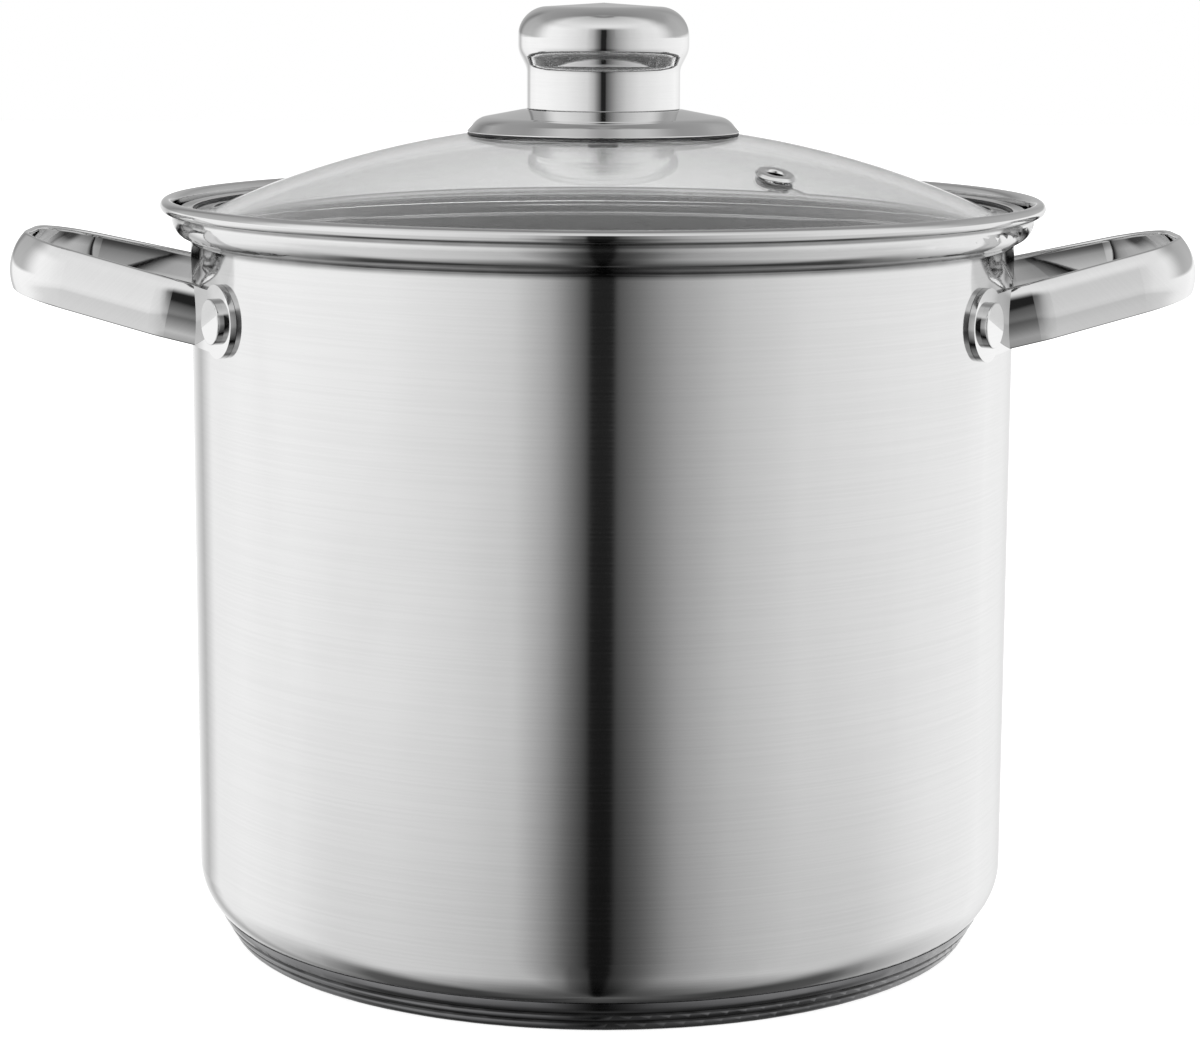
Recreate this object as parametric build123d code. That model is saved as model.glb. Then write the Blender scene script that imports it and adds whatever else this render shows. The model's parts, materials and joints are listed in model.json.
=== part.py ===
from build123d import *
import math
import os

# Water bath canner: a steel pot with two riveted handles, a domed glass lid and a jar rack inside.
# Millimetres. The origin is on the table under the pot's centre, +Z is up, the handles lie along X
# and the front is -Y. Radii are from the pot's own axis, heights are from the table.

# ---- Pot ----
body_radius = 140.0            # outside of the straight wall
pot_sheet = 0.8                # drawn stainless
neck_height = 240.7            # where the straight wall turns out into the collar
corner_radius = 20.0           # outside, between wall and floor
collar_step = 6.4              # how far the collar stands out from the wall
seat_rise = 3.0                # climb of the sloping seat across that step
collar_height = 8.3            # collar wall, from the outer edge of the seat to the rim's middle
neck_bend = 1.6                # bend radii of the sheet's middle line
collar_bend = 6.5
rim_curl = 1.9                 # radius of the rolled rim's middle line
rim_curl_turn = 280.0          # degrees that the edge is rolled through

# ---- Base ----
cap_sheet = 0.7
core_thickness = 4.8
cap_height = 10.8              # upper edge of the base cap
cap_edge_stand = 0.8           # how far that edge stands out past the pot's corner
cap_taper = 6.35               # how far the cap draws in from its upper edge to the table
cap_foot_bend = 1.1            # how far the cap's side turns in under its foot
groove_heights = (3.6, 6.6)
groove_depth = 0.55
base_hollow_radius = 46.0      # shallow round hollow in the underside, so that heat can't bow it out
base_hollow_depth = 0.25
base_hollow_edge = 1.0         # width of the slope around the hollow

# ---- Handles ----
strap_height = 20.0
strap_thickness = 2.2
strap_crown = 2.4              # how far the middle of the strap stands out past its edges
handle_reach = 69.9            # from the wall to the middle line of the bow, along the slope
root_half_width = 46.6         # half the distance between the legs at the wall
leg_straight = 14.0            # part of each leg that stands square to the handle's line
leg_bend = 20.0                # where the legs start to draw together
bow_half_width = 30.0          # half the distance between the corners of the bow
bow_corner = 30.0
handle_slope = 13.5            # degrees that the loop climbs outwards
handle_drop = 23.6             # from the neck down to the middle of the strap at the wall
rivet_drop = 22.9              # from the neck down to the rivets
rivet_offset = 21.6            # from each leg to its rivet, around the wall
pad_radius = 12.0
pad_sheet = 2.0
pad_gap = 0.05                 # fit between pad and wall
rivet_head_radius = 7.5
rivet_head_height = 2.2
rivet_head_edge = 0.5          # rounding of the outer head's edge
rivet_shank_radius = 3.0
inner_head_radius = 6.5
inner_head_height = 1.8
inner_head_edge = 0.8
rivet_clearance = 0.05

# ---- Lid ----
lid_play = 1.6                 # radial play between lid band and collar
seat_gap = 0.3                 # between the lid band and the sloping seat
band_sheet = 0.6
band_drop = 2.2                # from the seal's underside down to the band's foot
band_bend = 1.0                # bend radius of the band's middle line
band_depth = 5.3               # from the band's outer wall to its inner wall, middle to middle
band_lip = 4.3                 # how far the top lip reaches in over the glass
seal_sheet = 0.5
seal_show = 0.8                # how far the seal stands past the lip, over the glass
seal_bend = 0.7                # outside of the seal's upper corner, inside the band's bend
glass_thickness = 4.0
glass_edge_flat = 9.1          # width of the flat edge around the dome
dome_rise = 28.8               # from the flat edge of the glass to the top of the dome
dome_blend = 6.0               # radius between the flat edge and the dome

# ---- Knob ----
knob_height = 35.7             # from the skirt to the top of the knob
knob_radius = 29.1
knob_neck_radius = 26.1
knob_crown = 1.8               # fall of the knob's top from its middle to its edge
knob_cap_depth = 15.9          # from the top of the knob to where it starts to draw in
knob_shoulder = 6.0            # height over which it draws in to the neck
knob_sheet = 0.8
knob_bends = (9.8, 8.0, 6.0)   # top edge, under the cap, top of the neck
skirt_sheet = 0.7
skirt_radius = 46.0
skirt_height = 5.0             # from the glass at the middle of the dome to the flat of the skirt
skirt_flat_margin = 0.6        # flat left around the knob's neck
skirt_lip = 3.8                # width of the steep edge of the skirt
skirt_shoulder_drop = 2.9      # from the flat to the start of that edge
skirt_bends = (12.0, 7.0)
gasket_sheet = 0.4
gasket_width = 2.8
gasket_show = 0.2              # how far the gasket stands out past the skirt
gasket_gap = 0.05
insert_plate = 2.5
insert_boss_radius = 6.5
insert_boss_height = 15.0
screw_radius = 2.5
screw_head_radius = 5.25
screw_head_height = 2.8
screw_head_edge = 1.2
screw_slot = 1.2
screw_end_gap = 2.0            # the screw stops this short of the boss's end
screw_hole_radius = 4.0        # hole in the glass
thread_gap = 0.02
bushing_wall = 1.1
bushing_flange = 1.0
bushing_flange_margin = 2.2    # flange past the screw's head
washer_margin = 1.4            # washer past the screw's head
washer_sheet = 0.8
fit_gap = 0.1

# ---- Steam vent ----
vent_radius = 90.9             # from the knob's axis, along the glass
vent_azimuth = -52.9
vent_barrel = 3.2              # middle line of the eyelet's barrel
vent_flange = 6.3
vent_roll = 0.7                # width and bend of the flange's turned-down edge
vent_throat = 1.0              # bend from the crown into the barrel
vent_flare = 5.4               # radius of the end flared out under the washer
vent_flare_bend = 0.9
vent_sheet = 0.6
vent_crown = 1.25
vent_hole = 3.7                # hole in the glass
vent_washer_margin = 0.3       # flange past the washer

# ---- Jar rack ----
ring_wire = 5.0
deck_wire = 4.0
foot_height = 14.0             # clear height under the ring
deck_wire_count = 9
weld_sink = 0.5                # how far crossing wires sink into each other where they are welded
foot_half_width = 9.0
foot_splay = 1.5               # how far each side of a foot leans out towards its top
wire_bend = 5.0
floor_gap = 0.3
wall_margin = 1.0              # from the flat floor's edge to the feet
hinge_gap = 0.3                # between a handle's wire and the lugs or the deck
lug_sheet = 3.0
lug_rim = 2.2
lug_waist = 1.0                # how much narrower the lug is than its eye
rack_handle_tip = 21.5         # from the rack's middle to the end of each folded handle
rack_handle_bend = 12.0
hinge_bend = 2.8               # bend of the handle's ends into the lugs

# ---- Worked out from the sizes above ----
FAR = 1000.0
floor_under = cap_sheet + core_thickness
floor_top = floor_under + pot_sheet
wall_inside = body_radius - pot_sheet
collar_radius = body_radius + collar_step
collar_inside = collar_radius - pot_sheet
collar_start = neck_height + seat_rise
rim_middle = collar_start + collar_height
pad_inside = body_radius + pad_gap
pad_outside = pad_inside + pad_sheet
handle_height = neck_height - handle_drop
rivet_height = neck_height - rivet_drop
leg_angle = math.asin(root_half_width / body_radius)
rivet_angle = math.degrees(leg_angle + rivet_offset / body_radius)
corner_middle = floor_under + corner_radius
corner_reach = math.sqrt(corner_radius ** 2 - (corner_middle - cap_height) ** 2)
cap_edge_radius = body_radius - corner_radius + corner_reach + cap_edge_stand
cap_foot_radius = cap_edge_radius - cap_taper
cap_under_radius = cap_foot_radius - cap_foot_bend


def spun(face):
    """A face in the XZ plane turned once around the pot's axis."""
    return revolve(face, axis=Axis.Z, revolution_arc=360)


def sheet_face(edges, thickness):
    """Section of formed sheet: its middle line, thickened both ways and cut off at the axis."""
    outline = Wire(edges).offset_2d(thickness / 2, kind=Kind.ARC, side=Side.BOTH)
    right_half = Plane.XZ * Pos(FAR, 0) * Rectangle(2 * FAR, 2 * FAR)
    return (Plane.XZ * Face(outline)) & right_half


def outline_face(points):
    """Section with straight sides, given as radius and height pairs."""
    return Plane.XZ * make_face(Polyline(*points, close=True))


def ring_face(inner, outer, low, high):
    return outline_face([(inner, low), (outer, low), (outer, high), (inner, high)])


def disc(radius, low, high):
    """A solid cylinder on the pot's axis between two heights."""
    return Pos(0, 0, (low + high) / 2) * Cylinder(radius, high - low)


def wire_solid(path, diameter):
    """Round wire bent along a path."""
    start = Plane(origin=path @ 0, z_dir=path % 0)
    return sweep(start * Circle(diameter / 2), path=path)


def radial_plane(angle, radius, height, towards_leg=1):
    """A plane against the wall: local x runs around the pot, local z points out."""
    a = math.radians(angle)
    outwards = Vector(math.cos(a), math.sin(a), 0)
    around = Vector(-math.sin(a), math.cos(a), 0) * towards_leg
    return Plane(origin=outwards * radius + Vector(0, 0, height), x_dir=around, z_dir=outwards)


# ---------------------------------------------------------------- pot and base

def rivet_angles():
    """The four rivets: two on the right handle, then two on the left one."""
    return [rivet_angle, -rivet_angle, 180 - rivet_angle, 180 + rivet_angle]


def make_pot_shell():
    """Drawn cup: floor, straight wall, sloping seat, collar and rolled rim, all one sheet."""
    half = pot_sheet / 2
    middle_wall = body_radius - half
    middle_collar = collar_radius - half
    walls = FilletPolyline(
        (0, floor_under + half),
        (middle_wall, floor_under + half),
        (middle_wall, neck_height),
        (middle_collar, collar_start),
        (middle_collar, rim_middle),
        radius=[corner_radius - half, neck_bend, collar_bend],
    )
    curl = CenterArc((middle_collar + rim_curl, rim_middle), rim_curl, 180, -rim_curl_turn)
    shell = spun(sheet_face(walls.edges() + curl.edges(), pot_sheet))
    for angle in rivet_angles():
        shell -= rivet_hole(radial_plane(angle, body_radius, rivet_height))
    return shell


def rivet_hole(plane):
    """Hole through the pad and the wall."""
    return plane * Cylinder(rivet_shank_radius + rivet_clearance, 2 * strap_height)


def pot_envelope():
    """The pot's outside below the collar, as a full solid, to cut the base to its shape."""
    block = disc(body_radius, floor_under, neck_height)
    return fillet(block.edges().filter_by(GeomType.CIRCLE).sort_by(Axis.Z)[0], corner_radius)


def cap_line(height):
    """Outside radius of the base cap at a height, measured over its bands."""
    return cap_foot_radius + (cap_edge_radius - cap_foot_radius) * height / cap_height


def cap_inner_line(height):
    return cap_line(height) - groove_depth - cap_sheet


def make_base_core():
    """Aluminium disc that fills the base cap up to the pot's floor and corner."""
    section = outline_face([
        (0, cap_sheet),
        (cap_inner_line(cap_sheet), cap_sheet),
        (cap_inner_line(cap_height), cap_height),
        (0, cap_height),
    ])
    return spun(section) - pot_envelope()


def make_base_cap():
    """Steel cup around the base, its side pressed into rounded bands with grooves between."""
    stops = [0.0, *groove_heights, cap_height]
    side = []
    start = (cap_under_radius, 0.0)
    for low, high in zip(stops, stops[1:]):
        crest = (low + high) / 2
        end = (cap_line(high) - groove_depth, high)
        side.append(ThreePointArc(start, (cap_line(crest), crest), end))
        start = end
    inner_top = (cap_inner_line(cap_height), cap_height)
    inner_foot = (cap_inner_line(cap_sheet), cap_sheet)
    rest = Polyline(
        start, inner_top, inner_foot, (0, cap_sheet), (0, base_hollow_depth),
        (base_hollow_radius, base_hollow_depth), (base_hollow_radius + base_hollow_edge, 0),
        (cap_under_radius, 0),
    )
    edges = [edge for arc in side for edge in arc.edges()] + list(rest.edges())
    return spun(Plane.XZ * Face(Wire(edges))) - pot_envelope()


# ---------------------------------------------------------------- handles

def make_strap():
    """The loop of crowned strap, from wall to wall, climbing outwards."""
    legs = math.sqrt(body_radius ** 2 - root_half_width ** 2)
    corner = (legs + handle_reach, bow_half_width)
    half = [(legs - strap_height, root_half_width), (legs + leg_straight, root_half_width), corner]
    path = FilletPolyline(
        *[(x, -y) for x, y in half], *reversed(half),
        radius=[leg_bend, bow_corner, bow_corner, leg_bend],
    )
    edge = strap_height / 2 - strap_thickness / 2
    crown = ThreePointArc((-strap_crown, -edge), (0, 0), (-strap_crown, edge))
    outline = Wire(crown.edges()).offset_2d(strap_thickness / 2, kind=Kind.ARC, side=Side.BOTH)
    tangent = path % 0
    outwards = tangent.cross(Vector(0, 0, 1))
    start = Plane(origin=path @ 0, x_dir=outwards, z_dir=tangent)
    loop = sweep(start * Face(outline), path=path)
    lift = Pos(legs, 0, handle_height) * Rot(0, -handle_slope, 0) * Pos(-legs, 0, 0)
    return lift * loop


def make_pad(angle):
    """Round foot of the handle, curved to the wall and joined to the leg by a short tab."""
    leg_side = -1 if angle > 0 else 1
    plane = radial_plane(angle, body_radius, rivet_height, leg_side)
    tab = rivet_offset + strap_thickness
    tab_rise = leg_side * (handle_height - rivet_height)
    outline = Circle(pad_radius) + Pos(tab / 2, tab_rise / 2) * Rectangle(tab, strap_height)
    slab = extrude(plane * outline, pad_radius, both=True)
    around = disc(pad_outside, 0, neck_height) - disc(pad_inside, 0, neck_height)
    return (slab & around) - rivet_hole(plane)


def make_handle():
    """Right-hand handle: strap cut off at the wall, with its two pads."""
    strap = make_strap() - disc(pad_inside, 0, FAR)
    return strap + make_pad(rivet_angle) + make_pad(-rivet_angle)


def make_rivet(angle):
    """Flat outer head, shank through pad and wall, low head inside the pot."""
    plane = radial_plane(angle, 0, rivet_height)
    top = pad_outside + rivet_head_height
    low = wall_inside - inner_head_height
    blank = top - low
    head = Pos(0, 0, top - blank / 2) * Cylinder(rivet_head_radius, blank)
    head = fillet(head.edges().sort_by(Axis.Z)[-1], rivet_head_edge)
    head = plane * head - disc(pad_outside, 0, FAR)
    inner = Pos(0, 0, low + blank / 2) * Cylinder(inner_head_radius, blank)
    inner = fillet(inner.edges().sort_by(Axis.Z)[0], inner_head_edge)
    inner = (plane * inner) & disc(wall_inside, 0, FAR)
    shank_length = blank - inner_head_height
    shank = plane * Pos(0, 0, (top + low) / 2) * Cylinder(rivet_shank_radius, shank_length)
    return head + shank + inner


# ---------------------------------------------------------------- lid

def band_places():
    """Where the lid band sits: its outer radius, and the heights of its foot and its top."""
    outer = collar_inside - lid_play
    seat_centre = (collar_radius - pot_sheet / 2 - collar_bend, seat_bend_height())
    foot_bend = band_bend + band_sheet / 2
    across = outer - foot_bend - seat_centre[0]
    reach = collar_bend - pot_sheet / 2 - seat_gap - foot_bend
    foot = seat_centre[1] - math.sqrt(reach ** 2 - across ** 2) - foot_bend
    grip = band_sheet + 2 * seal_sheet + glass_thickness
    return outer, foot, foot + band_drop + grip


def seat_bend_height():
    """Height of the centre of the bend between the sloping seat and the collar wall."""
    slope = math.atan2(seat_rise, collar_step)
    return collar_start + collar_bend * math.tan((math.pi / 2 - slope) / 2)


band_outer, band_foot, band_top = band_places()
band_wall = band_outer - band_sheet / 2
glass_top = band_top - band_sheet - seal_sheet
glass_under = glass_top - glass_thickness
glass_radius = band_outer - band_sheet - seal_sheet
lip_radius = band_outer - band_lip - band_sheet
blend_centre = glass_radius - glass_edge_flat
dome_radius = (blend_centre ** 2 + dome_rise ** 2) / (2 * dome_rise) - dome_blend
dome_centre = glass_top + dome_rise - dome_radius
dome_top = glass_top + dome_rise
dome_under = dome_top - glass_thickness


def dome_height(radius):
    """Height of the glass's upper face at a distance from the axis."""
    return dome_centre + math.sqrt(dome_radius ** 2 - radius ** 2)


def make_lid_band():
    """Hoop of sheet: lip over the glass, outer wall, foot, and an inner wall under the glass."""
    inner_wall = band_wall - band_depth
    line = FilletPolyline(
        (lip_radius + band_sheet / 2, band_top - band_sheet / 2),
        (band_wall, band_top - band_sheet / 2),
        (band_wall, band_foot + band_sheet / 2),
        (inner_wall, band_foot + band_sheet / 2),
        (inner_wall, glass_under - seal_sheet - band_sheet / 2),
        radius=band_bend,
    )
    return spun(sheet_face(line.edges(), band_sheet))


def make_glass_edge_seal():
    """Soft channel over the edge of the glass, in the band that grips it."""
    inner = lip_radius - seal_show
    outer = glass_radius + seal_sheet
    low = glass_under - seal_sheet
    high = glass_top + seal_sheet
    line = Polyline(
        (inner, glass_top), (glass_radius, glass_top), (glass_radius, glass_under),
        (inner, glass_under), (inner, low), (outer, low), (outer, high), (inner, high),
        close=True,
    )
    section = make_face(line)
    upper_corner = section.vertices().sort_by(lambda v: v.X + v.Y)[-1]
    return spun(Plane.XZ * fillet(upper_corner, seal_bend))


def dome_edges(inset):
    """Line of the dome at a depth under its upper face: cap, blend, then the flat edge."""
    blend_height = glass_top + dome_blend
    tilt = math.degrees(math.atan2(blend_centre, blend_height - dome_centre))
    cap = CenterArc((0, dome_centre), dome_radius - inset, 90, -tilt)
    blend = CenterArc((blend_centre, blend_height), dome_blend + inset, 270 - tilt, tilt)
    flat = Line(blend @ 1, (glass_radius, glass_top - inset))
    return [cap, blend, flat]


def make_glass_dome():
    """Tempered dome with a flat edge, a screw hole in the middle and a vent hole."""
    upper = dome_edges(0)
    lower = dome_edges(glass_thickness)
    ends = [Line(upper[-1] @ 1, lower[-1] @ 1), Line(upper[0] @ 0, lower[0] @ 0)]
    edges = [edge for piece in upper + lower + ends for edge in piece.edges()]
    dome = spun(Plane.XZ * Face(Wire(edges)))
    dome -= disc(screw_hole_radius, dome_under - glass_thickness, dome_top + glass_thickness)
    return dome - vent_plane() * Cylinder(vent_hole, 4 * glass_thickness)


def vent_plane():
    """Plane on the glass at the vent: local z is square to the dome."""
    a = math.radians(vent_azimuth)
    spot = Vector(vent_radius * math.cos(a), vent_radius * math.sin(a), dome_height(vent_radius))
    return Plane(origin=spot, z_dir=(spot - Vector(0, 0, dome_centre)).normalized())


def make_vent_eyelet():
    """Tubular eyelet: crowned flange on the glass, barrel through it, flared end below."""
    under = -glass_thickness - washer_sheet - 2 * fit_gap - vent_sheet / 2
    line = FilletPolyline(
        (vent_flange, vent_sheet / 2 + fit_gap / 2),
        (vent_flange - vent_roll, vent_crown),
        (vent_barrel, vent_crown),
        (vent_barrel, under),
        (vent_flare, under),
        radius=[vent_roll, vent_throat, vent_flare_bend],
    )
    return vent_plane() * spun(sheet_face(line.edges(), vent_sheet))


def make_vent_washer():
    low = -glass_thickness - fit_gap - washer_sheet
    outer = vent_flange - vent_washer_margin
    return vent_plane() * spun(ring_face(vent_hole + vent_sheet, outer, low, low + washer_sheet))


# ---------------------------------------------------------------- knob

skirt_flat = dome_top + skirt_height
knob_foot = skirt_flat
knob_top = knob_foot + knob_height
bushing_low = dome_under - fit_gap - bushing_flange
washer_low = bushing_low - washer_sheet


def make_knob_shell():
    """Hollow spun cap and neck, open below."""
    half = knob_sheet / 2
    cap = knob_radius - half
    neck = knob_neck_radius - half
    drawn_in = knob_top - knob_cap_depth
    line = FilletPolyline(
        (0, knob_top - half), (cap, knob_top - half - knob_crown), (cap, drawn_in),
        (neck, drawn_in - knob_shoulder), (neck, knob_foot + half),
        radius=knob_bends,
    )
    return spun(sheet_face(line.edges(), knob_sheet))


def make_knob_skirt():
    """Dished disc that spreads the knob's load over the glass."""
    half = skirt_sheet / 2
    flat = skirt_flat - half
    edge = dome_height(skirt_radius) + gasket_sheet + 2 * gasket_gap + half
    line = FilletPolyline(
        (screw_hole_radius, flat),
        (knob_neck_radius + skirt_flat_margin, flat),
        (skirt_radius - skirt_lip, flat - skirt_shoulder_drop),
        (skirt_radius, edge),
        radius=skirt_bends,
    )
    return spun(sheet_face(line.edges(), skirt_sheet))


def make_skirt_gasket():
    """Thin soft washer between the skirt's edge and the glass."""
    outer = skirt_radius + gasket_show
    inner = outer - gasket_width
    under = [(r, dome_height(r) + gasket_gap) for r in (inner, outer)]
    over = [(r, height + gasket_sheet) for r, height in reversed(under)]
    return spun(outline_face(under + over))


def make_knob_insert():
    """Plate fixed in the foot of the knob, with the threaded boss for the screw."""
    plate = disc(knob_neck_radius - knob_sheet - fit_gap, knob_foot, knob_foot + insert_plate)
    boss = disc(insert_boss_radius, knob_foot, knob_foot + insert_boss_height)
    return plate + boss - disc(screw_radius + thread_gap, dome_top, knob_top)


def make_knob_screw():
    """Round-headed screw, driven up from inside the lid."""
    low = washer_low - screw_head_height
    head = disc(screw_head_radius, low, washer_low)
    head = fillet(head.edges().sort_by(Axis.Z)[0], screw_head_edge)
    slot = Pos(0, 0, low) * Box(2 * screw_head_radius, screw_slot, 2 * screw_slot)
    end = knob_foot + insert_boss_height - screw_end_gap
    return head - slot + disc(screw_radius, low + 2 * screw_slot, end)


def make_screw_washer():
    outer = screw_head_radius + washer_margin
    return spun(ring_face(screw_radius + fit_gap, outer, washer_low, bushing_low))


def make_glass_bushing():
    """Soft sleeve with a flange, which keeps the screw and its washer off the glass."""
    bore = screw_radius + fit_gap
    sleeve = ring_face(bore, bore + bushing_wall, bushing_low, dome_top)
    outer = screw_head_radius + bushing_flange_margin
    flange = ring_face(bore, outer, bushing_low, bushing_low + bushing_flange)
    return spun(sleeve) + spun(flange)


# ---------------------------------------------------------------- jar rack

foot_radius = body_radius - corner_radius - deck_wire / 2 - wall_margin
rack_radius = foot_radius + deck_wire / 2
ring_height = floor_top + foot_height + ring_wire / 2
deck_height = ring_height + ring_wire / 2 + deck_wire / 2 - weld_sink
bar_height = deck_height - deck_wire + weld_sink
deck_pitch = 2 * rack_radius / (deck_wire_count + 1)
hinge_half = 1.5 * deck_pitch
hinge_height = deck_height + deck_wire + hinge_gap
hinge_x = math.sqrt(rack_radius ** 2 - hinge_half ** 2)


def make_rack_ring():
    return Pos(0, 0, ring_height) * Torus(rack_radius, ring_wire / 2)


def chord(offset, height, along):
    """Straight wire across the ring at a distance from its centre."""
    half = math.sqrt(rack_radius ** 2 - offset ** 2)
    turn = Rot(0, 90, 0) if along == "x" else Rot(90, 0, 0)
    place = Pos(0, offset, height) if along == "x" else Pos(offset, 0, height)
    return place * turn * Cylinder(deck_wire / 2, 2 * half)


def make_cross_bars(ring):
    """Two bars under the deck, at a third of the ring either side."""
    return [chord(side * rack_radius / 3, bar_height, "y") - ring for side in (-1, 1)]


def make_deck_wires(ring, bars):
    wires = []
    for index in range(deck_wire_count):
        wire = chord(-rack_radius + deck_pitch * (index + 1), deck_height, "x") - ring
        for bar in bars:
            wire -= bar
        wires.append(wire)
    return wires


def make_rack_foot(angle, ring):
    """U of wire under the ring that stands on the pot's floor."""
    low = floor_top + floor_gap + deck_wire / 2
    top = ring_height - weld_sink
    path = FilletPolyline(
        (-foot_half_width - foot_splay, top), (-foot_half_width, low),
        (foot_half_width, low), (foot_half_width + foot_splay, top),
        radius=wire_bend,
    )
    upright = Plane(origin=(foot_radius, 0, 0), x_dir=(0, 1, 0), z_dir=(1, 0, 0))
    return Rot(0, 0, angle) * wire_solid(upright * path, deck_wire) - ring


def make_hinge_lug(side, end, ring):
    """Upright eye on the ring that a lifting handle turns in."""
    eye = deck_wire / 2 + hinge_gap
    rim = eye + lug_rim
    drop = hinge_height - ring_height
    outline = Circle(rim) + Pos(0, -drop / 2) * Rectangle(2 * rim - lug_waist, drop)
    outline -= Circle(eye)
    plane = Plane(origin=(side * hinge_x, end * hinge_half, hinge_height),
                  x_dir=(1, 0, 0), z_dir=(0, -1, 0))
    return extrude(plane * outline, lug_sheet / 2, both=True) - ring


def make_rack_handle(side):
    """Wire bail that folds flat on the deck, its bent ends turned out through the lugs."""
    leg = hinge_half - lug_sheet / 2 - deck_wire - hinge_gap
    pin = hinge_half + lug_sheet / 2 + deck_wire / 2
    half = [(hinge_x, pin), (hinge_x, leg), (rack_handle_tip, leg)]
    points = half + [(x, -y) for x, y in reversed(half)]
    path = FilletPolyline(
        *[(side * x, y, hinge_height) for x, y in points],
        radius=[hinge_bend, rack_handle_bend, rack_handle_bend, hinge_bend],
    )
    return wire_solid(path, deck_wire)


# ---------------------------------------------------------------- all the pieces

def group(solids):
    return Compound([solid.solid() for solid in solids])


def make_parts():
    handle = make_handle()
    angles = rivet_angles()
    ring = make_rack_ring()
    bars = make_cross_bars(ring)
    parts = {
        "pot_shell": make_pot_shell(),
        "base_core": make_base_core(),
        "base_cap": make_base_cap(),
        "right_handle": handle,
        "left_handle": Rot(0, 0, 180) * handle,
        "right_handle_rivets": group([make_rivet(angle) for angle in angles[:2]]),
        "left_handle_rivets": group([make_rivet(angle) for angle in angles[2:]]),
        "lid_band": make_lid_band(),
        "glass_edge_seal": make_glass_edge_seal(),
        "glass_dome": make_glass_dome(),
        "vent_eyelet": make_vent_eyelet(),
        "vent_washer": make_vent_washer(),
        "knob_shell": make_knob_shell(),
        "knob_insert": make_knob_insert(),
        "knob_skirt": make_knob_skirt(),
        "skirt_gasket": make_skirt_gasket(),
        "knob_screw": make_knob_screw(),
        "screw_washer": make_screw_washer(),
        "glass_bushing": make_glass_bushing(),
        "rack_ring": ring,
        "right_rack_handle": make_rack_handle(1),
        "left_rack_handle": make_rack_handle(-1),
    }
    for number, bar in enumerate(bars, start=1):
        parts[f"rack_cross_bar_{number}"] = bar
    for number, wire in enumerate(make_deck_wires(ring, bars), start=1):
        parts[f"rack_deck_wire_{number}"] = wire
    for number in range(1, 5):
        parts[f"rack_foot_{number}"] = make_rack_foot(90 * number - 45, ring)
    for number, (side, end) in enumerate([(1, 1), (1, -1), (-1, 1), (-1, -1)], start=1):
        parts[f"rack_hinge_lug_{number}"] = make_hinge_lug(side, end, ring)
    return parts


os.makedirs("parts", exist_ok=True)
for name, solid in make_parts().items():
    export_step(solid, f"parts/{name}.step")
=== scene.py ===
# %% [markdown]
# # A water bath canner
# A tall steel pot with a glass lid, two riveted handles and a wire jar rack inside.
# Almost everything you see on polished steel is a picture of the room around it, so this lesson
# spends its time on three things: what each surface does to a reflection, what the room looks
# like, and which small marks tell the eye that the metal has been turned, rolled and handled.

import json
import math

import bpy
from mathutils import Euler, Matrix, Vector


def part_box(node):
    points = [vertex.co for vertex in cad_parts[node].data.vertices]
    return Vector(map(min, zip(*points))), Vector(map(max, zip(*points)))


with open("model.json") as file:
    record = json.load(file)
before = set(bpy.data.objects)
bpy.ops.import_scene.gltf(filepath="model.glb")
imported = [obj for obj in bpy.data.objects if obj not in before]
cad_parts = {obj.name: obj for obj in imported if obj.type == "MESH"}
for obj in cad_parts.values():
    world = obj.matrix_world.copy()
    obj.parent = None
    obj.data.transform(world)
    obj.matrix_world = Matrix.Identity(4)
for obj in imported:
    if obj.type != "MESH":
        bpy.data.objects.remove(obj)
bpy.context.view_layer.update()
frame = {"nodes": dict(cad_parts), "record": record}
NODES = frame["nodes"]

# %% [markdown]
# ## Measures
# The frame is in metres and a kitchen pot is easier to think about in millimetres, so one
# constant turns the one into the other. The places that the finishes depend on, such as where the
# satin wall ends and the polished collar begins, are read off the loaded pieces.

# %% Measures read off the frame
MM = 0.001

rim_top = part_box("pot_shell")[1].z
seat_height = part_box("lid_band")[0].z
pot_points = [vertex.co for vertex in NODES["pot_shell"].data.vertices]
wall_radius = max(point.xy.length for point in pot_points if point.z < rim_top / 2)
print("rim", round(rim_top / MM, 1), "seat", round(seat_height / MM, 1),
      "wall radius", round(wall_radius / MM, 1))

# %% [markdown]
# ## Small helpers for node trees
# A shader is a graph, and a graph written as twenty lines of links is hard to read. Five helpers
# keep it short: one adds a node with its settings and inputs, one adds a maths node, one takes a
# range of values to another, one starts a node group with named sockets, and one places a group.

# %% Node helpers


def add(tree, kind, inputs=None, **settings):
    """A node with its settings, and its inputs as numbers, colours or other nodes' sockets."""
    node = tree.nodes.new(kind)
    for name, value in settings.items():
        setattr(node, name, value)
    for name, value in (inputs or {}).items():
        socket = node.inputs[name]
        if isinstance(value, bpy.types.NodeSocket):
            tree.links.new(value, socket)
        else:
            socket.default_value = value
    return node


def maths(tree, operation, *values, clamp=False):
    inputs = dict(enumerate(values))
    return add(tree, "ShaderNodeMath", inputs, operation=operation, use_clamp=clamp).outputs[0]


def remap(tree, value, low, high, to_low=0.0, to_high=1.0, smooth=True):
    """Takes low..high to to_low..to_high, and holds it outside."""
    inputs = {"Value": value, "From Min": low, "From Max": high, "To Min": to_low, "To Max": to_high}
    kind = "SMOOTHSTEP" if smooth else "LINEAR"
    return add(tree, "ShaderNodeMapRange", inputs, interpolation_type=kind).outputs[0]


SOCKETS = {"value": "NodeSocketFloat", "colour": "NodeSocketColor", "vector": "NodeSocketVector"}


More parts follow.
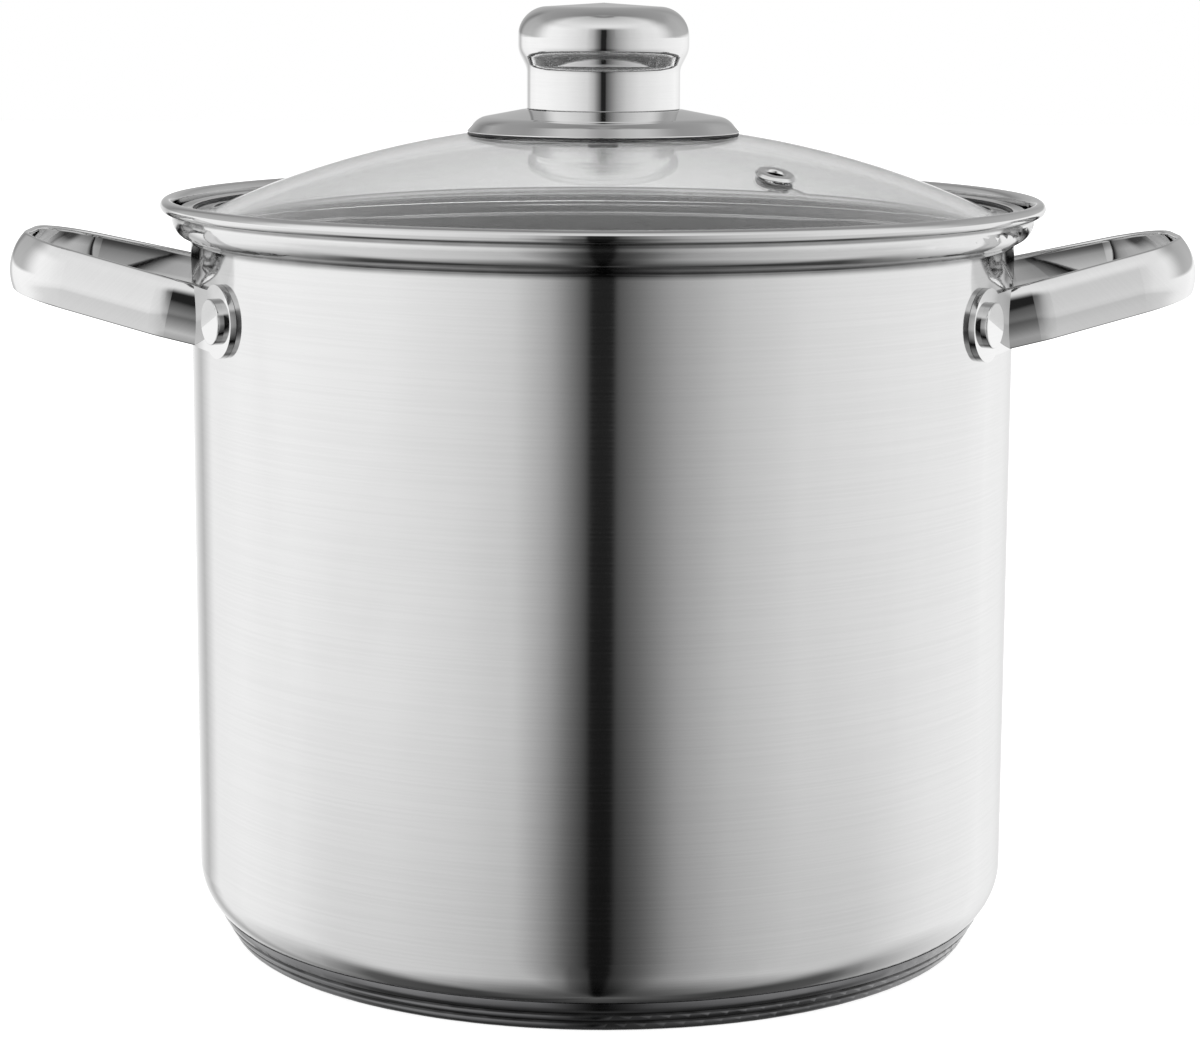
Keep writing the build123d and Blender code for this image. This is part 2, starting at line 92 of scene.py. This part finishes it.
def new_group(name, inputs, outputs):
    """An empty node group: inputs are (name, kind, default), outputs are (name, kind)."""
    tree = bpy.data.node_groups.new(name, "ShaderNodeTree")
    for socket_name, kind, default in inputs:
        socket = tree.interface.new_socket(socket_name, in_out="INPUT", socket_type=SOCKETS[kind])
        socket.default_value = default
    for socket_name, kind in outputs:
        tree.interface.new_socket(socket_name, in_out="OUTPUT", socket_type=SOCKETS[kind])
    start = tree.nodes.new("NodeGroupInput")
    end = tree.nodes.new("NodeGroupOutput")
    return tree, start.outputs, end.inputs


def place_group(tree, group, **inputs):
    """The group as a node. Input names are written with underscores for spaces."""
    named = {name.replace("_", " "): value for name, value in inputs.items()}
    return add(tree, "ShaderNodeGroup", named, node_tree=group).outputs


# %% [markdown]
# ## Lines left by turning
# A pot is finished on a lathe: an abrasive pad is held against it while it spins, and leaves fine
# lines that run around its axis, on the wall as well as on flat faces. An image of scratches would
# need unwrapping. Instead the noise is asked for at (radius, height) with almost no change around
# the axis, so one texture draws rings on the floor and level lines on the wall without a seam.

# %% Group: turned lines


def radius_from_axis(tree, axes):
    """Distance from the pot's own axis, from the x and y sockets of a position."""
    across = maths(tree, "MULTIPLY", axes[0], axes[0])
    return maths(tree, "SQRT", maths(tree, "MULTIPLY_ADD", axes[1], axes[1], across))


def make_turned_lines():
    tree, given, out = new_group(
        "turned lines",
        [("Line Width", "value", 0.3), ("Break Up", "value", 2.0), ("Depth", "value", 0.1)],
        [("Lines", "value"), ("Normal", "vector")],
    )
    place = add(tree, "ShaderNodeTexCoord").outputs["Object"]
    axes = add(tree, "ShaderNodeSeparateXYZ", {0: place}).outputs
    radius = radius_from_axis(tree, axes)
    per_width = maths(tree, "DIVIDE", 1 / MM, given["Line Width"])
    around_x = maths(tree, "MULTIPLY", maths(tree, "DIVIDE", axes[0], radius), given["Break Up"])
    around_y = maths(tree, "MULTIPLY", maths(tree, "DIVIDE", axes[1], radius), given["Break Up"])
    across = maths(tree, "MULTIPLY", maths(tree, "ADD", axes[2], radius), per_width)
    spot = add(tree, "ShaderNodeCombineXYZ", {0: around_x, 1: around_y, 2: across}).outputs[0]
    noise = add(tree, "ShaderNodeTexNoise", {"Vector": spot, "Scale": 1.0, "Detail": 3.0})
    lines = remap(tree, noise.outputs["Fac"], 0.3, 0.7)
    bump = add(tree, "ShaderNodeBump",
               {"Height": lines, "Strength": given["Depth"], "Distance": 0.02 * MM})
    tree.links.new(lines, out["Lines"])
    tree.links.new(bump.outputs[0], out["Normal"])
    return tree


turned_lines = make_turned_lines()
print("group ready:", turned_lines.name)

# %% [markdown]
# ## Marks of handling
# Steel that has been wiped and carried is never even: there are wide soft smears where a cloth
# went over it at a slant, and small dull spots where water dried. Two noises of very different
# size give both. They change how sharp the reflection is, by a little, as the real marks do.

# %% Group: handling marks


def make_handling_marks():
    tree, given, out = new_group(
        "handling marks",
        [("Smear Size", "value", 60.0), ("Spot Size", "value", 3.0), ("Spots", "value", 0.3)],
        [("Smears", "value"), ("Both", "value")],
    )
    place = add(tree, "ShaderNodeTexCoord").outputs["Object"]
    slant = add(tree, "ShaderNodeMapping",
                {"Vector": place, "Rotation": (0.0, 0.6, 0.0), "Scale": (1.0, 1.0, 0.35)})
    per_smear = maths(tree, "DIVIDE", 1 / MM, given["Smear Size"])
    smear = add(tree, "ShaderNodeTexNoise",
                {"Vector": slant.outputs[0], "Scale": per_smear, "Detail": 4.0, "Distortion": 0.8})
    smears = remap(tree, smear.outputs["Fac"], 0.35, 0.75)
    per_spot = maths(tree, "DIVIDE", 1 / MM, given["Spot Size"])
    cells = add(tree, "ShaderNodeTexVoronoi",
                {"Vector": place, "Scale": per_spot, "Randomness": 1.0})
    spots = maths(tree, "MULTIPLY", remap(tree, cells.outputs["Distance"], 0.25, 0.05),
                  given["Spots"])
    both = maths(tree, "ADD", smears, spots, clamp=True)
    tree.links.new(smears, out["Smears"])
    tree.links.new(both, out["Both"])
    return tree


handling_marks = make_handling_marks()
print("group ready:", handling_marks.name)

# %% [markdown]
# ## Shade in the seams
# The line under the rolled rim, the crease under the collar and the two grooves of the base are
# darkened in colour as painted shade, standing for the shade that falls into them. The group
# gives a mask that is 1 at a height and fades to 0 above and below it. It is patchy around the
# pot. The same mask also marks the scuffed lowest band of the base, where it only adds roughness.

# %% Group: seam shade and wear


def make_seam_shade_and_wear():
    tree, given, out = new_group(
        "seam shade and wear",
        [("Height", "value", 0.0), ("Reach", "value", 1.0), ("Patchy", "value", 0.3)],
        [("Shade And Wear", "value")],
    )
    place = add(tree, "ShaderNodeTexCoord").outputs["Object"]
    axes = add(tree, "ShaderNodeSeparateXYZ", {0: place}).outputs
    height = maths(tree, "MULTIPLY", axes[2], 1 / MM)
    away = maths(tree, "ABSOLUTE", maths(tree, "SUBTRACT", height, given["Height"]))
    near = remap(tree, maths(tree, "DIVIDE", away, given["Reach"]), 1.0, 0.4)
    noise = add(tree, "ShaderNodeTexNoise", {"Vector": place, "Scale": 0.1 / MM, "Detail": 3.0})
    patches = remap(tree, noise.outputs["Fac"], 0.35, 0.65)
    missing = maths(tree, "MULTIPLY", patches, given["Patchy"])
    left = maths(tree, "SUBTRACT", 1.0, missing)
    tree.links.new(maths(tree, "MULTIPLY", near, left), out["Shade And Wear"])
    return tree


seam_shade_and_wear = make_seam_shade_and_wear()
print("group ready:", seam_shade_and_wear.name)

# %% [markdown]
# ## Steel
# Every steel here is the same metal with a different finish, so one function lays the base of
# them all: its colour, how rough it is, how wide and deep its lines are, and how much the smears
# show. Metallic is 1, and the colour is the share of the light that comes back. What is special
# to one surface is added afterwards through `darken`, which multiplies the colour, and `roughen`,
# which adds to the roughness.

# %% Materials: the common steel


def new_material(name):
    material = bpy.data.materials.new(name)
    material.use_nodes = True
    tree = material.node_tree
    shader = tree.nodes["Principled BSDF"]
    return material, tree, shader


def set_inputs(shader, **values):
    for name, value in values.items():
        shader.inputs[name.replace("_", " ")].default_value = value


def mix_colour(tree, factor, first, second, how="MIX"):
    inputs = {"Factor": factor, "A": first, "B": second}
    node = add(tree, "ShaderNodeMix", inputs, data_type="RGBA", blend_type=how)
    return node.outputs["Result"]


def darken(tree, shader, mask, amount):
    """Multiplies the colour by (1 - amount) where the mask is 1."""
    now = shader.inputs["Base Color"].links[0].from_socket
    left = maths(tree, "MULTIPLY_ADD", mask, -amount, 1.0)
    shade = add(tree, "ShaderNodeCombineXYZ", {0: left, 1: left, 2: left}).outputs[0]
    tree.links.new(mix_colour(tree, 1.0, now, shade, "MULTIPLY"), shader.inputs["Base Color"])


def roughen(tree, shader, mask, amount):
    """Adds the amount to the roughness where the mask is 1."""
    now = shader.inputs["Roughness"].links[0].from_socket
    tree.links.new(maths(tree, "MULTIPLY_ADD", mask, amount, now), shader.inputs["Roughness"])


def steel(name, colour, roughness, line_width=0.3, line_depth=0.1, line_shade=0.03, smear=0.03,
          smear_size=60.0):
    material, tree, shader = new_material(name)
    lines = place_group(tree, turned_lines, Line_Width=line_width, Depth=line_depth)
    marks = place_group(tree, handling_marks, Smear_Size=smear_size)
    dull = maths(tree, "MULTIPLY_ADD", marks["Both"], smear, roughness)
    rough = maths(tree, "MULTIPLY_ADD", lines["Lines"], line_shade, dull)
    low = [c * (1 - line_shade) for c in colour]
    tint = mix_colour(tree, lines["Lines"], (*low, 1), (*colour, 1))
    tree.links.new(tint, shader.inputs["Base Color"])
    tree.links.new(rough, shader.inputs["Roughness"])
    tree.links.new(lines["Normal"], shader.inputs["Normal"])
    darken(tree, shader, marks["Smears"], smear)
    set_inputs(shader, Metallic=1.0)
    return material, tree, shader


print("steel finishes can be made")

# %% [markdown]
# ## The pot's own steel
# The pot is one drawn cup with three finishes. The wall is satin, its lines just wide enough to
# see. Above the seat the collar and the rolled rim have been buffed brighter. The inside is made
# rougher, and its colour is darkened as painted shade for the little light inside the pot; boiling
# has left its own faint rings there.
# Which way a point faces tells inside from outside: inside, it faces the axis or straight up.

# %% Material: body steel

RIM_SEAM_BELOW = 4.7            # mm from the top of the rim to the line under its roll
NECK_BELOW_SEAT = 2.2           # mm from the foot of the lid band down to the crease outside
# painted shade: the share of colour taken away inside the pot
INSIDE_PAINTED_SHADE = 0.45            # shares of the colour taken away
SCALE_RINGS_DARKER = 0.12
# painted shade in the line under the rim and the crease under the collar
SEAM_PAINTED_SHADE = 0.6
INSIDE_ROUGHER = 0.03           # added to the roughness


def facing_inwards(tree):
    """1 where the surface faces the pot's axis, or up, below the lid's seat."""
    sources = add(tree, "ShaderNodeTexCoord").outputs
    place = add(tree, "ShaderNodeSeparateXYZ", {0: sources["Object"]}).outputs
    faces = add(tree, "ShaderNodeSeparateXYZ", {0: sources["Normal"]}).outputs
    out_x = maths(tree, "MULTIPLY", place[0], faces[0])
    outwards = maths(tree, "MULTIPLY_ADD", place[1], faces[1], out_x)
    upwards = maths(tree, "MULTIPLY", faces[2], wall_radius)
    inwards = remap(tree, maths(tree, "SUBTRACT", outwards, upwards), 0.0, -0.2 * wall_radius)
    below_seat = remap(tree, place[2], seat_height, seat_height - 3 * MM)
    return maths(tree, "MULTIPLY", inwards, below_seat)


def make_body_steel():
    material, tree, shader = steel("satin body steel", (0.69, 0.69, 0.69), 0.045,
                                   line_width=0.8, line_depth=0.06, line_shade=0.035, smear=0.03)
    inside = facing_inwards(tree)
    # painted shade inside the pot; the added roughness is its duller finish
    darken(tree, shader, inside, INSIDE_PAINTED_SHADE)
    roughen(tree, shader, inside, INSIDE_ROUGHER)
    rings = place_group(tree, turned_lines, Line_Width=6.0, Break_Up=1.0, Depth=0.0)
    scale_rings = maths(tree, "MULTIPLY", rings["Lines"], inside)
    darken(tree, shader, scale_rings, SCALE_RINGS_DARKER)
    # painted shade, outside only: the line under the rolled rim and the crease under the collar
    rim = place_group(tree, seam_shade_and_wear, Height=rim_top / MM - RIM_SEAM_BELOW, Reach=1.3, Patchy=0.1)
    neck = place_group(tree, seam_shade_and_wear, Height=seat_height / MM - NECK_BELOW_SEAT, Reach=3.0,
                       Patchy=0.1)
    outside = maths(tree, "SUBTRACT", 1.0, inside)
    for line in (rim["Shade And Wear"], neck["Shade And Wear"]):
        darken(tree, shader, maths(tree, "MULTIPLY", line, outside), SEAM_PAINTED_SHADE)
    return material


body_steel = make_body_steel()
print("material ready:", body_steel.name)

# %% [markdown]
# ## The base
# The cap around the base is pressed into three bands. It stands in spilt water and on hot rings,
# so it is darker and duller than the wall. Its two grooves are darkened as painted shade and made
# rougher, and its lowest band is scuffed where it is dragged across the hob.

# %% Material: base steel

GROOVE_HEIGHTS = (3.6, 6.6)     # mm above the table
# painted shade in the two grooves
GROOVE_PAINTED_SHADE = 0.85            # share of the colour taken away
WORN_ROUGHER = 0.25             # added to the roughness of grooves and scuffs


def make_base_steel():
    material, tree, shader = steel("base steel", (0.22, 0.22, 0.225), 0.1, line_width=0.5,
                                   line_shade=0.06, smear=0.08, smear_size=25.0)
    # painted shade in the two grooves, which are also made rougher
    for height in GROOVE_HEIGHTS:
        groove = place_group(tree, seam_shade_and_wear, Height=height, Reach=1.0, Patchy=0.2)
        darken(tree, shader, groove["Shade And Wear"], GROOVE_PAINTED_SHADE)
        roughen(tree, shader, groove["Shade And Wear"], WORN_ROUGHER)
    scuff = place_group(tree, seam_shade_and_wear, Height=0.4, Reach=1.6, Patchy=0.8)
    roughen(tree, shader, scuff["Shade And Wear"], WORN_ROUGHER)
    return material


base_steel = make_base_steel()
print("material ready:", base_steel.name)

# %% [markdown]
# ## The other metals
# The handles, their rivets, the lid band, the knob and the vent are polished until they mirror
# the room. Screw, washers and the plate in the knob are left as they come from the press. The
# aluminium core only shows if the cap is taken off. The rack's wire is bright but drawn, so its
# marks run along it and it is a little wavy.

# %% Materials: the other metals
polished = steel("polished steel", (0.74, 0.74, 0.74), 0.02, line_width=0.6, line_depth=0.01,
                 line_shade=0.02, smear=0.025, smear_size=22.0)[0]
plain_steel = steel("plain steel", (0.5, 0.5, 0.51), 0.2, smear_size=10.0)[0]
core_aluminium = steel("core aluminium", (0.72, 0.72, 0.74), 0.3, line_width=1.5)[0]
wire_steel = steel("rack wire", (0.68, 0.68, 0.69), 0.08, line_width=2.5, line_depth=0.2,
                   line_shade=0.06, smear_size=18.0)[0]
print("materials ready:", polished.name, plain_steel.name, core_aluminium.name, wire_steel.name)

# %% [markdown]
# ## Silicone and glass
# The seal, the skirt's gasket and the bushing are matt dark silicone that picks up a little dust.
# The dome is clear tempered glass. Its thin films of grease only show as a slight unevenness of
# its sheen, and its colour is taken almost to neutral, because a 4 mm sheet hardly tints. It is
# seen at a flat angle, where glass mirrors strongly, so its mirror is turned down to let the
# bright room behind it through.

# %% Materials: silicone and glass


def make_silicone():
    material, tree, shader = new_material("dark silicone")
    marks = place_group(tree, handling_marks, Smear_Size=8.0, Spot_Size=1.2, Spots=0.6)
    dust = mix_colour(tree, marks["Both"], (0.014, 0.014, 0.015, 1), (0.04, 0.04, 0.042, 1))
    rough = remap(tree, marks["Both"], 0.0, 1.0, 0.4, 0.62)
    tree.links.new(dust, shader.inputs["Base Color"])
    tree.links.new(rough, shader.inputs["Roughness"])
    return material


def make_glass():
    material, tree, shader = new_material("clear glass")
    marks = place_group(tree, handling_marks, Smear_Size=45.0, Spots=0.0)
    film = remap(tree, marks["Smears"], 0.5, 1.0, 0.0, 0.012)
    tree.links.new(film, shader.inputs["Roughness"])
    set_inputs(shader, Base_Color=(0.99, 0.994, 0.992, 1), IOR=1.5, Transmission_Weight=1.0,
               Specular_IOR_Level=0.08)
    return material


silicone = make_silicone()
glass = make_glass()
print("materials ready:", silicone.name, glass.name)

# %% [markdown]
# ## Every piece gets its finish
# The record names a material slot for each piece of the frame, so the finishes are handed out by
# slot and nothing can be forgotten: a slot without a finish would stop the script here.

# %% Finishes
FINISHES = {
    "brushed_body": body_steel,
    "polished_steel": polished,
    "base_steel": base_steel,
    "core_aluminium": core_aluminium,
    "plain_steel": plain_steel,
    "dark_silicone": silicone,
    "clear_glass": glass,
    "rack_wire": wire_steel,
}
for part in frame["record"]["subparts"]:
    node = NODES[part["node"]]
    node.data.materials.clear()
    node.data.materials.append(FINISHES[part["material_slot"]])

# %% [markdown]
# ## A table to stand on
# The pot is shown on a white table lit from below as well as above, the way such things are
# photographed, so that no shadow gathers around its foot. The table is left out of the steel's
# reflections, because the room below draws its own lower half.

# %% Table
TABLE_HALF = 6.0                # metres
TABLE_GLOW = 0.85
scene = bpy.context.scene
scene.view_settings.view_transform = "Standard"


def make_table():
    corners = [(-1, -1), (1, -1), (1, 1), (-1, 1)]
    mesh = bpy.data.meshes.new("table")
    mesh.from_pydata([(x * TABLE_HALF, y * TABLE_HALF, 0) for x, y in corners], [], [(0, 1, 2, 3)])
    table = bpy.data.objects.new("table", mesh)
    scene.collection.objects.link(table)
    table.visible_glossy = False
    material, _, shader = new_material("white table")
    set_inputs(shader, Base_Color=(0.5, 0.5, 0.5, 1), Roughness=0.9,
               Emission_Color=(1, 1, 1, 1), Emission_Strength=TABLE_GLOW)
    mesh.materials.append(material)
    return table


table = make_table()
print("table:", table.dimensions.x, "m across")

# %% [markdown]
# ## The room in the steel
# Polished steel has hardly any look of its own. What the eye reads as steel is a bent picture of
# the room, so the room matters more than any material. This one is drawn with two curves. The
# first goes around: a narrow black gap straight ahead, where the camera looks in between two
# white screens, then screens that grow brighter out to the sides, and a darker seam far back on
# the left where they end. The second goes up and down: the table below is bright until it comes
# close under the pot, the ceiling above is dimmer than the screens, and the wall behind the pot
# is grey above the table line.
#
# Whatever is seen directly, or through the glass, is plain white. Only reflections see the room.

# %% Room: light around and up
AROUND = [                      # degrees from straight ahead, towards +X, and light
    (-180, 1.05), (-165, 1.0), (-150, 0.62), (-139, 1.15), (-120, 1.25), (-95, 1.25),
    (-60, 1.15), (-40, 1.02), (-24, 0.87), (-14, 0.56), (-9, 0.3), (-5, 0.14), (-4.0, 0.1),
    (-3.6, 0.02), (3.6, 0.02), (4.0, 0.11), (10, 0.24), (20, 0.49), (35, 0.76), (56, 0.98),
    (95, 1.15), (135, 1.22), (150, 1.1), (162, 0.9), (180, 1.05),
]
UP_IN_FRONT = [                 # degrees above level, and light
    (-90, 0.07), (-83, 0.1), (-77, 0.15), (-71, 0.23), (-65, 0.35), (-59, 0.48), (-48, 0.74),
    (-17, 0.78), (-13, 0.92), (-6, 1.0), (46, 1.0), (64, 0.8), (78, 0.62), (84, 0.25), (90, 0.4),
]
UP_BEHIND = [
    (-90, 0.14), (-84, 0.1), (-70, 0.05), (-55, 0.1), (-40, 0.6), (-25, 0.95), (0, 1.0),
    (3, 0.5), (40, 0.42), (64, 0.36), (80, 0.3), (90, 0.4),
]
BRIGHTEST = 1.3                 # a colour ramp ends at 1, so light is stored as a share of this
GAP_ENDS = (28, 42)             # degrees up, where the gap between the screens closes
LOW_SHADE = (-8, -18)           # degrees, where the foot of the screens falls into shade
LOW_SHADE_WIDTH = (25, 5)       # degrees either side of straight ahead
LOW_SHADE_DEPTH = 0.45
BEHIND_STARTS = (0.25, -0.4)    # cosine of the angle around, where "in front" turns to "behind"


def curve(tree, value, half_turn, stops):
    """A brightness curve over an angle in radians, from minus to plus half_turn degrees."""
    share = maths(tree, "MULTIPLY_ADD", value, 90 / math.pi / half_turn, 0.5)
    ramp = add(tree, "ShaderNodeValToRGB", {0: share})
    elements = ramp.color_ramp.elements
    while len(elements) < len(stops):
        elements.new(0.5)
    for element, (angle, light) in zip(elements, stops):
        grey = light / BRIGHTEST
        element.position = angle / (2 * half_turn) + 0.5
        element.color = (grey, grey, grey, 1)
    return maths(tree, "MULTIPLY", ramp.outputs["Color"], BRIGHTEST)


def blend(tree, factor, first, second):
    inputs = {"Factor": factor, "A": first, "B": second}
    return add(tree, "ShaderNodeMix", inputs, data_type="FLOAT").outputs["Result"]


def make_room():
    world = bpy.data.worlds.new("room")
    world.use_nodes = True
    tree = world.node_tree
    direction = add(tree, "ShaderNodeTexCoord").outputs["Generated"]
    axes = add(tree, "ShaderNodeSeparateXYZ", {0: direction}).outputs
    ahead = maths(tree, "MULTIPLY", axes[1], -1.0)
    turn = maths(tree, "ARCTAN2", axes[0], ahead)
    up = maths(tree, "ARCSINE", axes[2])
    around = curve(tree, turn, 180, AROUND)
    closed = remap(tree, up, *[math.radians(a) for a in GAP_ENDS])
    around = blend(tree, closed, around, 1.0)
    low = remap(tree, up, *[math.radians(a) for a in LOW_SHADE])
    middle = remap(tree, maths(tree, "ABSOLUTE", turn), *[math.radians(a) for a in LOW_SHADE_WIDTH])
    shade = maths(tree, "MULTIPLY", low, middle)
    around = maths(tree, "MULTIPLY", around, maths(tree, "MULTIPLY_ADD", shade, -LOW_SHADE_DEPTH, 1.0))
    behind = remap(tree, maths(tree, "COSINE", turn), *BEHIND_STARTS)
    height = blend(tree, behind, curve(tree, up, 90, UP_IN_FRONT), curve(tree, up, 90, UP_BEHIND))
    room = maths(tree, "MULTIPLY", around, height)
    path = add(tree, "ShaderNodeLightPath").outputs
    direct = maths(tree, "MAXIMUM", path["Is Camera Ray"], path["Is Transmission Ray"])
    tree.links.new(blend(tree, direct, room, 1.0), tree.nodes["Background"].inputs["Color"])
    return world


scene.world = make_room()
print("room ready, curves with", len(AROUND), len(UP_IN_FRONT), len(UP_BEHIND), "points")

# %% [markdown]
# ## Light from above
# One very wide, soft light overhead stands for the ceiling panel. It lights the dull pieces,
# which the room alone would leave flat, and it is left out of reflections for the same reason
# that the table is.

# %% Overhead light
SUN_STRENGTH = 3.0
SUN_SPREAD = 60                 # degrees


def make_overhead_light():
    data = bpy.data.lights.new("overhead light", "SUN")
    data.energy = SUN_STRENGTH
    data.angle = math.radians(SUN_SPREAD)
    light = bpy.data.objects.new("overhead light", data)
    scene.collection.objects.link(light)
    light.rotation_euler = Euler((math.radians(-10), math.radians(10), 0))
    light.visible_glossy = False
    return light


overhead = make_overhead_light()
print("overhead light:", overhead.data.energy)

# %% [markdown]
# ## Camera
# The pot was seen from a little above its lid through a long lens, from about a metre away. Its
# place, lens, tilt and small roll come from fitting the camera to the pot's outline.

# %% Camera
EYE = (-0.5, -1106, 330)        # mm
LENS = 96.84                    # mm
PICTURE_WIDTH = 36.0            # mm
LOOKING_DOWN = 9.62             # degrees
ROLL = 0.26


def make_camera():
    data = bpy.data.cameras.new("camera")
    data.lens = LENS
    data.sensor_width = PICTURE_WIDTH
    camera = bpy.data.objects.new("camera", data)
    scene.collection.objects.link(camera)
    camera.location = [c * MM for c in EYE]
    tilt = Euler((math.pi / 2 - math.radians(LOOKING_DOWN), 0, 0)).to_matrix()
    camera.rotation_euler = (tilt @ Euler((0, 0, math.radians(ROLL))).to_matrix()).to_euler()
    return camera


scene.camera = make_camera()
print("camera at", EYE, "mm")
